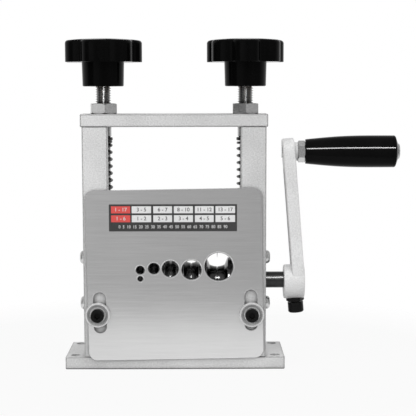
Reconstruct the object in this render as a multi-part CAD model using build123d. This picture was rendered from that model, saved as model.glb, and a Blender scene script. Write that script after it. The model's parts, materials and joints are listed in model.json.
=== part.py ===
from build123d import *
from collections import namedtuple
from math import cos, pi, radians, sin, sqrt, tan
import os

# Hand crank wire stripper. Millimetres, +Z up. The origin is the centre of the base plate's
# underside, the guide plate faces -Y and the crank is on the +X side.

# ---- base plate and frame ----
BASE_WIDTH = 140.0
BASE_DEPTH = 50.0
BASE_THICKNESS = 8.0
BASE_HOLE_DIAMETER = 5.5
BASE_HOLE_SPACING_X = 128.0
BASE_HOLE_SPACING_Y = 38.0
UPRIGHT_INNER_SPAN = 83.6
UPRIGHT_WIDTH = 16.0
UPRIGHT_DEPTH = 30.0
UPRIGHT_HEIGHT = 146.0
GROOVE_WIDTH = 16.0
GROOVE_DEPTH = 9.6
BAR_OVERHANG = 1.0
BAR_THICKNESS = 8.0
EDGE_BREAK = 0.5

# ---- countersunk screws that hold the frame together ----
FRAME_SCREW_DIAMETER = 4.0
FRAME_SCREW_HEAD_DIAMETER = 8.0
FRAME_SCREW_HEIGHT = 2.0
FRAME_SCREW_LENGTH = 20.0
FRAME_SCREW_SPACING = 18.0
FRAME_SCREW_SLOT_WIDTH = 1.0
FRAME_SCREW_SLOT_DEPTH = 1.0

# ---- bearing blocks in the uprights' grooves ----
DRIVE_AXIS_HEIGHT = 47.5          # above the base plate's top
BLOCK_THICKNESS = 12.0
BLOCK_SIDE_CLEARANCE = 0.05
LOWER_BLOCK_HEIGHT = 38.0
UPPER_BLOCK_HEIGHT = 20.0
UPPER_BLOCK_GAP = 0.2             # between a sliding block and the bottom of its groove
BLOCK_BREAK = 0.4
FIT_CLEARANCE = 0.02              # radial, pieces that are fixed to each other
RUNNING_CLEARANCE = 0.06          # radial, pieces that turn or slide in each other

# ---- pan-head screws on the uprights' sides ----
SIDE_SCREW_DIAMETER = 4.0
SIDE_SCREW_LENGTH = 12.0
SIDE_SCREW_SPACING = 29.6
SIDE_HEAD_DIAMETER = 8.6
SIDE_HEAD_HEIGHT = 3.3
SIDE_HEAD_ROUND = 2.2
CROSS_RECESS_LENGTH = 4.8
CROSS_RECESS_WIDTH = 1.1
CROSS_RECESS_DEPTH = 1.8

# ---- drive shaft and feed roller ----
DRIVE_SHAFT_DIAMETER = 10.4
DRIVE_SHAFT_END_GAP = 0.4
DRIVE_BUSH_WALL = 1.3
ROLLER_DIAMETER = 29.0
END_FLOAT = 0.3                   # roller and cutter stack between the blocks, each side
ROLLER_CHAMFER = 0.6
FLANK_LEAN = 1.9                  # how far the widest lane's flanks lean outward
KERF_HALF_WIDTH = 0.6
KERF_DEPTH = 0.6
ROLLER_SCREW_DIAMETER = 4.0
ROLLER_SCREW_INSET = 1.0
ROLLER_SCREW_X = (-31.5, 17.7)

# ---- cutters ----
CUTTER_DIAMETER = 30.0
CUTTER_THICKNESS = 1.6
CUTTER_BEVEL_LENGTH = 4.6
CUTTER_EDGE_WIDTH = 0.1
CUTTER_EDGE_GAP = 1.2             # cutting edge above the shallowest lane's floor, at rest
CUTTER_SHAFT_DIAMETER = 8.0
CUTTER_BUSH_WALL = 1.5
SPACER_DIAMETER = 15.0

# ---- wire lanes: place, groove floor radius and half width, and the guide plate's holes for it
# (diameter, distance from the lane's middle, height) ----
Lane = namedtuple("Lane", "x floor_radius half_width holes")
LANES = (
    Lane(-21.9, 13.2, 2.1, ((3.3, 0.1, 58.5), (5.3, 0.1, 64.0))),
    Lane(-13.3, 12.9, 2.8, ((7.1, 0.1, 65.0),)),
    Lane(-2.8, 12.6, 3.6, ((10.4, 0.0, 64.8),)),
    Lane(10.4, 11.0, 4.8, ((12.4, 0.2, 64.1),)),
    Lane(27.0, 8.7, 4.8, ((17.8, 0.9, 66.1),)),
)
FLAT_LANE = LANES[-1]             # the widest lane has a broad floor and steep flanks
FLAT_LANE_DISH = 1.2              # how much its floor rises towards the flanks

# ---- crank ----
HUB_INNER_X = 69.8
HUB_WIDTH = 13.2
HUB_DIAMETER = 22.0
HUB_DROP = 1.2                    # the hub's metal is thicker below, for the clamp screw
CRANK_RISE = 82.4                 # from the drive axis to the grip's axis
ARM_THICKNESS = 7.7
ARM_TOP_X = 72.6                  # middle of the arm at the grip's axis
ARM_FOOT_X = 79.25                # middle of the arm at the drive axis
ARM_TOP_RADIUS = 8.5
ARM_FOOT_RADIUS = 10.0
ARM_ROUND = 1.0
ARM_PAD = 1.1                     # the top end is this much thicker on its inner side
POCKET_DEPTH = 1.0
POCKET_RIM = 2.4
POCKET_START = 14.0
POCKET_END = 66.0
HUB_ROUND = 1.0

# ---- crank clamp screw and its lock nut ----
CLAMP_DIAMETER = 6.0
CLAMP_HEAD_DIAMETER = 10.0
CLAMP_HEAD_HEIGHT = 6.6
CLAMP_HEAD_START = 14.5           # from the drive axis
CLAMP_SOCKET = 5.0
CLAMP_NUT_ACROSS = 10.0
CLAMP_NUT_HEIGHT = 2.2
CLAMP_SEAT_DEPTH = 0.6            # flat that the lock nut bears on, cut into the hub
CLAMP_SEAT_DIAMETER = 13.0

# ---- handle ----
BOSS_DIAMETER = 11.6
BOSS_FACE_X = 78.4
HANDLE_NUT_ACROSS = 12.0
HANDLE_NUT_HEIGHT = 4.6
HANDLE_BOLT_DIAMETER = 8.0
BOLT_END_RECESS = 0.5
GRIP_LENGTH = 58.7
GRIP_INNER_RADIUS = 7.8
GRIP_MIDDLE_RADIUS = 9.75
GRIP_OUTER_RADIUS = 10.15
GRIP_MIDDLE = 23.0
GRIP_INNER_SLOPE = 0.1
GRIP_END_GAP = 0.1
GRIP_INNER_ROUND = 0.6
GRIP_OUTER_ROUND = 1.2
GRIP_END_SLOPE_LENGTH = 1.5       # the outer end slopes back this far at its rim
GRIP_END_FLAT_RADIUS = 6.2
GRIP_LINE_INSET = 3.4
GRIP_LINE_WIDTH = 0.5
GRIP_LINE_DEPTH = 0.3
BOLT_HEAD_DIAMETER = 10.0
BOLT_HEAD_HEIGHT = 3.0
BOLT_HEAD_PROUD = 1.4
BOLT_HEAD_CLEARANCE = 0.3
BOLT_SLOT_WIDTH = 1.6
BOLT_SLOT_DEPTH = 1.1

# ---- adjusting screws, lock nuts, star knobs ----
SCREW_SPAN = 90.0
SCREW_DIAMETER = 9.8
SCREW_PROTRUSION = 6.8            # below the top bar
SCREW_END_CHAMFER = 0.8
LOCK_NUT_ACROSS = 16.0
LOCK_NUT_HEIGHT = 6.6
LOCK_NUT_TURNS = (-20.0, 30.0)    # how each nut happens to stand, left and right
KNOB_LIFT = 10.6                  # bare thread between lock nut and knob
KNOB_TURNS = (-102.0, -90.0)      # where each knob's first lobe points
KNOB_HUB_HEIGHT = 15.1
KNOB_HUB_TOP_DIAMETER = 26.8
KNOB_HUB_LOW_DIAMETER = 26.0
KNOB_HUB_ROUND = 0.8
STAR_HEIGHT = 14.9
STAR_DIAMETER = 49.5
LOBE_COUNT = 7
LOBE_RADIUS = 9.4
VALLEY_ROUND = 2.6
STAR_DOME = 1.5
STAR_TOP_ROUND = 2.0
STAR_LOW_ROUND = 0.5
INSERT_DIAMETER = 16.0
INSERT_LENGTH = 18.0
INSERT_RECESS = 0.4

# ---- springs ----
SPRING_DIAMETER = 11.2
SPRING_WIRE = 1.6
SPRING_PITCH = 4.45
SPRING_LEAD_ANGLE = 30.0          # turn used to bend from the straight end into the coil
SPRING_LEAD_RISE = 2.2
SEAT_DIAMETER = 11.4
SEAT_THICKNESS = 2.1
SEAT_BREAK = 0.4

# ---- guide plate, label, clamps ----
PLATE_WIDTH = 110.9
PLATE_HEIGHT = 108.3
PLATE_THICKNESS = 2.0
PLATE_CENTRE_X = 0.05
PLATE_CENTRE_Z = 61.1
PLATE_TILT = 0.88
PLATE_CORNER = 5.5
PLATE_GAP = 0.05
HOLE_CHAMFER = 0.6
SLOT_WIDTH = 8.2
SLOT_LENGTH = 26.2
SLOT_SPAN = 95.8
SLOT_DROP = 23.4                  # slots' middles below the plate's own middle
PLATE_CLAMP_SPAN = 97.6
PLATE_CLAMP_Z = 35.7
COLLAR_DIAMETER = 15.6
COLLAR_THICKNESS = 3.0
COLLAR_BREAK = 0.4
COLLAR_DISH_DEPTH = 1.4
COLLAR_DISH_FLOOR = 10.0
COLLAR_RIM = 0.6
PLATE_SCREW_DIAMETER = 5.0
PLATE_SCREW_HEAD_DIAMETER = 8.6
PLATE_SCREW_HEAD_HEIGHT = 5.0
PLATE_SCREW_SOCKET = 4.0
PLATE_SCREW_THREAD = 6.0          # length inside the upright
LABEL_WIDTH = 80.4
LABEL_HEIGHT = 17.0
LABEL_THICKNESS = 0.3
LABEL_CENTRE_X = -0.9
LABEL_CENTRE_Z = 97.3

# ---- places that follow from the sizes ----
FRONT_Y = -BASE_DEPTH / 2
WORK_Y = FRONT_Y + UPRIGHT_DEPTH / 2
INNER_X = UPRIGHT_INNER_SPAN / 2
OUTER_X = INNER_X + UPRIGHT_WIDTH
GROOVE_X = INNER_X + GROOVE_DEPTH
WEB_X = (GROOVE_X + OUTER_X) / 2
BAR_Z = BASE_THICKNESS + UPRIGHT_HEIGHT
BAR_TOP_Z = BAR_Z + BAR_THICKNESS
DRIVE_Z = BASE_THICKNESS + DRIVE_AXIS_HEIGHT
LOWER_BLOCK_Z = DRIVE_Z - LOWER_BLOCK_HEIGHT / 2
STOP_Z = LOWER_BLOCK_Z + LOWER_BLOCK_HEIGHT
UPPER_BLOCK_TOP = STOP_Z + UPPER_BLOCK_HEIGHT
SHALLOWEST_FLOOR = max(lane.floor_radius for lane in LANES)
CUTTER_Z = DRIVE_Z + SHALLOWEST_FLOOR + CUTTER_EDGE_GAP + CUTTER_DIAMETER / 2
BLOCK_FACE_X = GROOVE_X - BLOCK_THICKNESS
ROLLER_END_X = BLOCK_FACE_X - END_FLOAT
SCREW_X = SCREW_SPAN / 2
SCREW_LOW_Z = BAR_Z - SCREW_PROTRUSION
SEAT_LOW_Z = SCREW_LOW_Z - SEAT_THICKNESS
NUT_TOP_Z = BAR_TOP_Z + LOCK_NUT_HEIGHT
KNOB_Z = NUT_TOP_Z + KNOB_LIFT
HANDLE_Z = DRIVE_Z + CRANK_RISE
HUB_CENTRE_Z = DRIVE_Z - HUB_DROP
HUB_MIDDLE_X = HUB_INNER_X + HUB_WIDTH / 2
ARM_SLOPE = (ARM_FOOT_X - ARM_TOP_X) / CRANK_RISE
ARM_LENGTH = CRANK_RISE * sqrt(1 + ARM_SLOPE**2)
CLAMP_SEAT = HUB_DIAMETER / 2 + HUB_DROP - CLAMP_SEAT_DEPTH
GRIP_INNER_X = BOSS_FACE_X + HANDLE_NUT_HEIGHT + GRIP_END_GAP
GRIP_OUTER_X = GRIP_INNER_X + GRIP_LENGTH
PLATE_BACK_Y = FRONT_Y - PLATE_GAP
PLATE_FRONT_Y = PLATE_BACK_Y - PLATE_THICKNESS
SPACER_GAPS = [-ROLLER_END_X] + [lane.x for lane in LANES] + [ROLLER_END_X]


def block(x0, x1, y0, y1, z0, z1):
    """A box between two corners."""
    size = (x1 - x0, y1 - y0, z1 - z0)
    return Pos((x0 + x1) / 2, (y0 + y1) / 2, (z0 + z1) / 2) * Box(*size)


def rod_x(radius, x0, x1, z, y=WORK_Y):
    """A round bar along X."""
    return Pos((x0 + x1) / 2, y, z) * Rot(0, 90, 0) * Cylinder(radius, x1 - x0)


def rod_y(radius, y0, y1, x, z):
    """A round bar along Y."""
    return Pos(x, (y0 + y1) / 2, z) * Rot(90, 0, 0) * Cylinder(radius, y1 - y0)


def rod_z(radius, z0, z1, x=0.0, y=0.0):
    """A round bar along Z."""
    return Pos(x, y, (z0 + z1) / 2) * Cylinder(radius, z1 - z0)


def cone_z(low_radius, top_radius, z0, z1):
    """A round taper along Z."""
    return Pos(0, 0, (z0 + z1) / 2) * Cone(low_radius, top_radius, z1 - z0)


def placed(shape, origin, direction):
    """A piece drawn along +Z, set down at origin with its +Z along direction."""
    return Plane(origin=origin, z_dir=direction) * shape


def side_x(side, x):
    """A distance from the middle as a place on the left (-1) or right (+1) side."""
    return side * x


# ---- fasteners, drawn with the head's underside at z = 0 and the thread below it ----
def pan_screw():
    head = rod_z(SIDE_HEAD_DIAMETER / 2, 0, SIDE_HEAD_HEIGHT)
    head = fillet(head.edges().group_by(Axis.Z)[-1], SIDE_HEAD_ROUND)
    floor = SIDE_HEAD_HEIGHT - CROSS_RECESS_DEPTH
    for turn in (0, 90):
        slot = block(-CROSS_RECESS_LENGTH / 2, CROSS_RECESS_LENGTH / 2,
                     -CROSS_RECESS_WIDTH / 2, CROSS_RECESS_WIDTH / 2,
                     floor, SIDE_HEAD_HEIGHT + 1)
        head -= Rot(0, 0, turn) * slot
    return head + rod_z(SIDE_SCREW_DIAMETER / 2, -SIDE_SCREW_LENGTH, 0)


def countersunk_screw():
    """Its top face is at z = 0, so that it sits flush."""
    head = cone_z(FRAME_SCREW_DIAMETER / 2, FRAME_SCREW_HEAD_DIAMETER / 2, -FRAME_SCREW_HEIGHT, 0)
    screw = head + rod_z(FRAME_SCREW_DIAMETER / 2, -FRAME_SCREW_LENGTH, -FRAME_SCREW_HEIGHT)
    reach = FRAME_SCREW_HEAD_DIAMETER / 2
    slot = block(-reach, reach, -FRAME_SCREW_SLOT_WIDTH / 2, FRAME_SCREW_SLOT_WIDTH / 2,
                 -FRAME_SCREW_SLOT_DEPTH, 1)
    return screw - slot


def countersunk_hole():
    """The space for a countersunk screw, with its clearance."""
    head_radius = FRAME_SCREW_HEAD_DIAMETER / 2 + FIT_CLEARANCE
    shank_radius = FRAME_SCREW_DIAMETER / 2 + FIT_CLEARANCE
    low = -FRAME_SCREW_HEIGHT
    return cone_z(shank_radius, head_radius, low, 0) + rod_z(shank_radius, -FRAME_SCREW_LENGTH - 1, low)


def socket_screw(diameter, length, head_diameter, head_height, socket):
    head = rod_z(head_diameter / 2, 0, head_height)
    head = chamfer(head.edges().group_by(Axis.Z)[-1], head_height / 10)
    hexagon = RegularPolygon(socket / 2, 6, major_radius=False)
    head -= Pos(0, 0, head_height / 2) * extrude(hexagon, head_height)
    return head + rod_z(diameter / 2, -length, 0)


def hex_nut(across, height, bore_radius, turn=0.0):
    """Stands on z = 0, its corners turned off at both ends."""
    nut = Rot(0, 0, turn) * extrude(RegularPolygon(across / 2, 6, major_radius=False), height)
    corner_radius = across / sqrt(3)
    drop = (corner_radius - across / 2) * tan(radians(30))
    low = cone_z(across / 2, corner_radius, 0, drop)
    middle = rod_z(corner_radius, drop, height - drop)
    top = cone_z(corner_radius, across / 2, height - drop, height)
    return (nut & (low + middle + top)) - rod_z(bore_radius, -1, height + 1)


# ---- frame ----
def frame_screw_places():
    """Where the countersunk screws stand, above and below."""
    return [(side_x(side, WEB_X), WORK_Y + end * FRAME_SCREW_SPACING / 2)
            for side in (-1, 1) for end in (-1, 1)]


def base_plate():
    plate = block(-BASE_WIDTH / 2, BASE_WIDTH / 2, FRONT_Y, -FRONT_Y, 0, BASE_THICKNESS)
    plate = chamfer(plate.edges(), EDGE_BREAK)
    for x in (-BASE_HOLE_SPACING_X / 2, BASE_HOLE_SPACING_X / 2):
        for y in (-BASE_HOLE_SPACING_Y / 2, BASE_HOLE_SPACING_Y / 2):
            plate -= rod_z(BASE_HOLE_DIAMETER / 2, -1, BASE_THICKNESS + 1, x, y)
    for x, y in frame_screw_places():
        plate -= placed(countersunk_hole(), (x, y, 0), (0, 0, -1))
    return plate


def base_screws():
    return [placed(countersunk_screw(), (x, y, 0), (0, 0, -1)) for x, y in frame_screw_places()]


def bar_screws():
    return [placed(countersunk_screw(), (x, y, BAR_TOP_Z), (0, 0, 1)) for x, y in frame_screw_places()]


def upright(side):
    x0, x1 = sorted((side_x(side, INNER_X), side_x(side, OUTER_X)))
    post = block(x0, x1, FRONT_Y, FRONT_Y + UPRIGHT_DEPTH, BASE_THICKNESS, BAR_Z)
    post = chamfer(post.edges().filter_by(Axis.Z), EDGE_BREAK)
    g0, g1 = sorted((side_x(side, INNER_X - 1), side_x(side, GROOVE_X)))
    post -= block(g0, g1, WORK_Y - GROOVE_WIDTH / 2, WORK_Y + GROOVE_WIDTH / 2,
                  BASE_THICKNESS - 1, BAR_Z + 1)
    for x, y in frame_screw_places():
        post -= placed(countersunk_hole(), (x, y, 0), (0, 0, -1))
        post -= placed(countersunk_hole(), (x, y, BAR_TOP_Z), (0, 0, 1))
    w0, w1 = sorted((side_x(side, GROOVE_X - 1), side_x(side, OUTER_X + 1)))
    for z in side_screw_heights():
        post -= rod_x(SIDE_SCREW_DIAMETER / 2 + RUNNING_CLEARANCE, w0, w1, z)
    if side > 0:
        post -= rod_x(DRIVE_SHAFT_DIAMETER / 2 + 2 * RUNNING_CLEARANCE, w0, w1, DRIVE_Z)
    depth = PLATE_SCREW_THREAD + 1
    post -= rod_y(PLATE_SCREW_DIAMETER / 2 + FIT_CLEARANCE, FRONT_Y - 1, FRONT_Y + depth,
                  side_x(side, PLATE_CLAMP_SPAN / 2), PLATE_CLAMP_Z)
    return post


def top_bar():
    reach = OUTER_X + BAR_OVERHANG
    bar = block(-reach, reach, FRONT_Y, FRONT_Y + UPRIGHT_DEPTH, BAR_Z, BAR_TOP_Z)
    bar = chamfer(bar.edges(), EDGE_BREAK)
    for side in (-1, 1):
        bar -= rod_z(SCREW_DIAMETER / 2 + RUNNING_CLEARANCE, BAR_Z - 1, BAR_TOP_Z + 1,
                     side_x(side, SCREW_X), WORK_Y)
    for x, y in frame_screw_places():
        bar -= placed(countersunk_hole(), (x, y, BAR_TOP_Z), (0, 0, 1))
    return bar


# ---- bearing blocks, bushes and their screws ----
def side_screw_heights():
    return (DRIVE_Z - SIDE_SCREW_SPACING / 2, DRIVE_Z + SIDE_SCREW_SPACING / 2)


def bearing_body(side, groove_gap, z0, z1, axis_z, bore_radius):
    """A block in the groove with the bore for its bush."""
    x0, x1 = sorted((side_x(side, BLOCK_FACE_X), side_x(side, GROOVE_X - groove_gap)))
    half = GROOVE_WIDTH / 2 - BLOCK_SIDE_CLEARANCE
    body = block(x0, x1, WORK_Y - half, WORK_Y + half, z0, z1)
    body = chamfer(body.edges().filter_by(Axis.X), BLOCK_BREAK)
    return body - rod_x(bore_radius, x0 - 1, x1 + 1, axis_z)


def bearing_block(side):
    bore = DRIVE_SHAFT_DIAMETER / 2 + RUNNING_CLEARANCE + DRIVE_BUSH_WALL + FIT_CLEARANCE
    body = bearing_body(side, 0, LOWER_BLOCK_Z, STOP_Z, DRIVE_Z, bore)
    x0, x1 = sorted((side_x(side, BLOCK_FACE_X - 1), side_x(side, GROOVE_X + 1)))
    for z in side_screw_heights():
        body -= rod_x(SIDE_SCREW_DIAMETER / 2 + FIT_CLEARANCE, x0, x1, z)
    return body


def slide_block(side):
    bore = CUTTER_SHAFT_DIAMETER / 2 + RUNNING_CLEARANCE + CUTTER_BUSH_WALL + FIT_CLEARANCE
    return bearing_body(side, UPPER_BLOCK_GAP, STOP_Z, UPPER_BLOCK_TOP, CUTTER_Z, bore)


def bush(side, groove_gap, shaft_diameter, wall, axis_z):
    x0, x1 = sorted((side_x(side, BLOCK_FACE_X), side_x(side, GROOVE_X - groove_gap)))
    inner = shaft_diameter / 2 + RUNNING_CLEARANCE
    return rod_x(inner + wall, x0, x1, axis_z) - rod_x(inner, x0 - 1, x1 + 1, axis_z)


def side_screws(side):
    return [placed(pan_screw(), (side_x(side, OUTER_X), WORK_Y, z), (side, 0, 0))
            for z in side_screw_heights()]


# ---- feed roller ----
def lane_cut(lane):
    """The outline, in X and radius, of the groove that one wire lies in."""
    rim = ROLLER_DIAMETER / 2 + 1
    floor = lane.floor_radius
    if lane is FLAT_LANE:
        edge = floor + FLAT_LANE_DISH
        flank = FLANK_LEAN * (rim - edge) / (ROLLER_DIAMETER / 2 - edge)
        w = lane.half_width
        top = w + flank
        base = ThreePointArc((-w, edge), (0, floor), (w, edge))
    else:
        w = lane.half_width
        top = w
        lip = ROLLER_DIAMETER / 2
        base = ThreePointArc((-w, lip), (0, floor), (w, lip))
    sides = Polyline(base @ 1, (top, rim), (-top, rim), base @ 0)
    kerf = Polyline((-KERF_HALF_WIDTH, floor + KERF_DEPTH), (0, floor - KERF_DEPTH),
                    (KERF_HALF_WIDTH, floor + KERF_DEPTH), close=True)
    return Pos(lane.x, 0) * (make_face(base + sides) + make_face(kerf))


def feed_roller():
    radius = ROLLER_DIAMETER / 2
    bore = DRIVE_SHAFT_DIAMETER / 2 + FIT_CLEARANCE
    half = Pos(0, (bore + radius) / 2) * Rectangle(2 * ROLLER_END_X, radius - bore)
    half = chamfer(half.vertices().group_by(Axis.Y)[-1], ROLLER_CHAMFER)
    for lane in LANES:
        half -= lane_cut(lane)
    section = Plane(origin=(0, WORK_Y, DRIVE_Z), x_dir=(1, 0, 0), z_dir=(0, -1, 0)) * half
    roller = revolve(section, Axis((0, WORK_Y, DRIVE_Z), (1, 0, 0)))
    for x in ROLLER_SCREW_X:
        roller -= rod_y(ROLLER_SCREW_DIAMETER / 2 + FIT_CLEARANCE, WORK_Y, WORK_Y + radius + 1, x, DRIVE_Z)
    return roller


def roller_screws():
    start = WORK_Y + DRIVE_SHAFT_DIAMETER / 2 + FIT_CLEARANCE
    end = WORK_Y + ROLLER_DIAMETER / 2 - ROLLER_SCREW_INSET
    return [rod_y(ROLLER_SCREW_DIAMETER / 2, start, end, x, DRIVE_Z) for x in ROLLER_SCREW_X]


def drive_shaft():
    start = -GROOVE_X + DRIVE_SHAFT_END_GAP
    end = HUB_INNER_X + HUB_WIDTH - DRIVE_SHAFT_END_GAP
    shaft = rod_x(DRIVE_SHAFT_DIAMETER / 2, start, end, DRIVE_Z)
    return chamfer(shaft.edges().filter_by(GeomType.CIRCLE), EDGE_BREAK)


# ---- cutters ----
def cutter_shaft():
    reach = GROOVE_X - UPPER_BLOCK_GAP - DRIVE_SHAFT_END_GAP
    shaft = rod_x(CUTTER_SHAFT_DIAMETER / 2, -reach, reach, CUTTER_Z)
    return chamfer(shaft.edges().filter_by(GeomType.CIRCLE), EDGE_BREAK)


def cutter_disc(lane):
    bore = CUTTER_SHAFT_DIAMETER / 2 + FIT_CLEARANCE
    rim = CUTTER_DIAMETER / 2
    shoulder = rim - CUTTER_BEVEL_LENGTH
    half = CUTTER_THICKNESS / 2
    edge = CUTTER_EDGE_WIDTH / 2
    outline = Polyline((-half, bore), (half, bore), (half, shoulder), (edge, rim),
                       (-edge, rim), (-half, shoulder), close=True)
    section = Plane(origin=(lane.x, WORK_Y, CUTTER_Z), x_dir=(1, 0, 0), z_dir=(0, -1, 0)) * make_face(outline)
    return revolve(section, Axis((lane.x, WORK_Y, CUTTER_Z), (1, 0, 0)))


def cutter_spacer(index):
    """The sleeve that fills the shaft between two cutters, or a cutter and the stack's end."""
    half = CUTTER_THICKNESS / 2
    x0 = SPACER_GAPS[index] + (half if index > 0 else 0)
    x1 = SPACER_GAPS[index + 1] - (half if index + 1 < len(SPACER_GAPS) - 1 else 0)
    bore = CUTTER_SHAFT_DIAMETER / 2 + FIT_CLEARANCE
    return rod_x(SPACER_DIAMETER / 2, x0, x1, CUTTER_Z) - rod_x(bore, x0 - 1, x1 + 1, CUTTER_Z)


# ---- crank ----
def arm_plane():
    """Runs up the leaning arm: local X is +Y, local Y climbs the arm, local Z points outward."""
    return Plane(origin=(ARM_FOOT_X, WORK_Y, DRIVE_Z), x_dir=(0, 1, 0), z_dir=(1, 0, ARM_SLOPE))


def clamp_direction():
    """The clamp screw goes down along the arm's lean."""
    return Vector(ARM_SLOPE, 0, -1).normalized()


def clamp_plane(distance):
    origin = Vector(HUB_MIDDLE_X, WORK_Y, DRIVE_Z) + clamp_direction() * distance
    return Plane(origin=origin, z_dir=clamp_direction())


def arm_outline(foot_radius, top_radius, start, end):
    foot = Pos(0, start) * Circle(foot_radius)
    top = Pos(0, end) * Circle(top_radius)
    return make_hull((foot + top).edges())


def crank_arm():
    half = ARM_THICKNESS / 2
    outline = arm_outline(ARM_FOOT_RADIUS, ARM_TOP_RADIUS, 0, ARM_LENGTH)
    arm = Pos(0, 0, -half) * extrude(outline, ARM_THICKNESS)
    arm = fillet(arm.edges().group_by(Axis.Z)[-1] + arm.edges().group_by(Axis.Z)[0], ARM_ROUND)
    pad = Pos(0, ARM_LENGTH, -ARM_PAD / 2) * Cylinder(ARM_TOP_RADIUS, ARM_THICKNESS + ARM_PAD)
    arm += fillet(pad.edges().filter_by(GeomType.CIRCLE), ARM_ROUND)
    pocket = arm_outline(ARM_FOOT_RADIUS - POCKET_RIM, ARM_TOP_RADIUS - POCKET_RIM, POCKET_START, POCKET_END)
    for level in (half - POCKET_DEPTH, -half - 1):
        arm -= Pos(0, 0, level) * extrude(pocket, POCKET_DEPTH + 1)
    arm = arm_plane() * arm
    hub = rod_x(HUB_DIAMETER / 2, HUB_INNER_X, HUB_INNER_X + HUB_WIDTH, HUB_CENTRE_Z)
    hub = fillet(hub.edges().filter_by(GeomType.CIRCLE), HUB_ROUND)
    boss = rod_x(BOSS_DIAMETER / 2, ARM_TOP_X, BOSS_FACE_X, HANDLE_Z)
    crank = arm + hub + boss
    crank -= block(HUB_INNER_X + HUB_WIDTH, HUB_INNER_X + 2 * HUB_WIDTH, WORK_Y - HUB_DIAMETER,
                   WORK_Y + HUB_DIAMETER, DRIVE_Z - HUB_DIAMETER, DRIVE_Z + ARM_FOOT_RADIUS / 2)
    crank -= rod_x(DRIVE_SHAFT_DIAMETER / 2 + FIT_CLEARANCE, HUB_INNER_X - 1,
                   HUB_INNER_X + HUB_WIDTH + 1, DRIVE_Z)
    crank -= rod_x(HANDLE_BOLT_DIAMETER / 2 + FIT_CLEARANCE, ARM_TOP_X - 2 * ARM_THICKNESS,
                   BOSS_FACE_X + 1, HANDLE_Z)
    crank -= clamp_plane(0) * rod_z(CLAMP_DIAMETER / 2 + FIT_CLEARANCE, 0, HUB_DIAMETER)
    return crank - clamp_plane(CLAMP_SEAT) * rod_z(CLAMP_SEAT_DIAMETER / 2, 0, CLAMP_HEAD_HEIGHT)


def crank_clamp_screw():
    tip = DRIVE_SHAFT_DIAMETER / 2 + CLAMP_DIAMETER / 2 * ARM_SLOPE + RUNNING_CLEARANCE
    screw = socket_screw(CLAMP_DIAMETER, CLAMP_HEAD_START - tip, CLAMP_HEAD_DIAMETER, CLAMP_HEAD_HEIGHT, CLAMP_SOCKET)
    return clamp_plane(CLAMP_HEAD_START) * screw


def crank_clamp_nut():
    nut = hex_nut(CLAMP_NUT_ACROSS, CLAMP_NUT_HEIGHT, CLAMP_DIAMETER / 2 + FIT_CLEARANCE)
    return clamp_plane(CLAMP_SEAT + FIT_CLEARANCE) * nut


# ---- handle ----
def handle_bolt():
    end_x = ARM_TOP_X - ARM_THICKNESS / 2 - ARM_PAD + BOLT_END_RECESS
    head_x = GRIP_OUTER_X + BOLT_HEAD_PROUD - BOLT_HEAD_HEIGHT
    head = rod_z(BOLT_HEAD_DIAMETER / 2, 0, BOLT_HEAD_HEIGHT)
    head = chamfer(head.edges().group_by(Axis.Z)[-1], EDGE_BREAK)
    reach = BOLT_HEAD_DIAMETER / 2
    head -= block(-reach, reach, -BOLT_SLOT_WIDTH / 2, BOLT_SLOT_WIDTH / 2,
                  BOLT_HEAD_HEIGHT - BOLT_SLOT_DEPTH, BOLT_HEAD_HEIGHT + 1)
    bolt = head + rod_z(HANDLE_BOLT_DIAMETER / 2, end_x - head_x, 0)
    return placed(bolt, (head_x, WORK_Y, HANDLE_Z), (1, 0, 0))


def handle_nut():
    nut = hex_nut(HANDLE_NUT_ACROSS, HANDLE_NUT_HEIGHT, HANDLE_BOLT_DIAMETER / 2 + FIT_CLEARANCE)
    plane = Plane(origin=(BOSS_FACE_X, WORK_Y, HANDLE_Z), x_dir=(0, 0, 1), z_dir=(1, 0, 0))
    return plane * nut


def handle_grip():
    """A turned grip that swells from the inner end, with a fine line near the outer end."""
    bore = HANDLE_BOLT_DIAMETER / 2 + RUNNING_CLEARANCE
    rim_x = GRIP_LENGTH - GRIP_END_SLOPE_LENGTH
    swell = Spline((0, GRIP_INNER_RADIUS), (GRIP_MIDDLE, GRIP_MIDDLE_RADIUS), (rim_x, GRIP_OUTER_RADIUS),
                   tangents=((1, GRIP_INNER_SLOPE), (1, 0)))
    rest = Polyline(swell @ 1, (GRIP_LENGTH, GRIP_END_FLAT_RADIUS), (GRIP_LENGTH, bore), (0, bore), swell @ 0)
    half = make_face(swell + rest)
    half = fillet(half.vertices().sort_by_distance((0, GRIP_INNER_RADIUS))[0], GRIP_INNER_ROUND)
    half = fillet(half.vertices().sort_by_distance((rim_x, GRIP_OUTER_RADIUS))[0], GRIP_OUTER_ROUND)
    line_x = GRIP_LENGTH - GRIP_LINE_INSET
    half -= Pos(line_x, GRIP_OUTER_RADIUS) * Rectangle(GRIP_LINE_WIDTH, 2 * GRIP_LINE_DEPTH)
    plane = Plane(origin=(GRIP_INNER_X, WORK_Y, HANDLE_Z), x_dir=(1, 0, 0), z_dir=(0, -1, 0))
    grip = revolve(plane * half, Axis((0, WORK_Y, HANDLE_Z), (1, 0, 0)))
    head_x = GRIP_OUTER_X + BOLT_HEAD_PROUD - BOLT_HEAD_HEIGHT
    radius = BOLT_HEAD_DIAMETER / 2 + BOLT_HEAD_CLEARANCE
    return grip - rod_x(radius, head_x - RUNNING_CLEARANCE, GRIP_OUTER_X + 1, HANDLE_Z)


# ---- adjusting screws and knobs ----
def adjusting_screw(side):
    screw = rod_z(SCREW_DIAMETER / 2, SCREW_LOW_Z, KNOB_Z + INSERT_LENGTH, side_x(side, SCREW_X), WORK_Y)
    return chamfer(screw.edges().filter_by(GeomType.CIRCLE), SCREW_END_CHAMFER)


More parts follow.
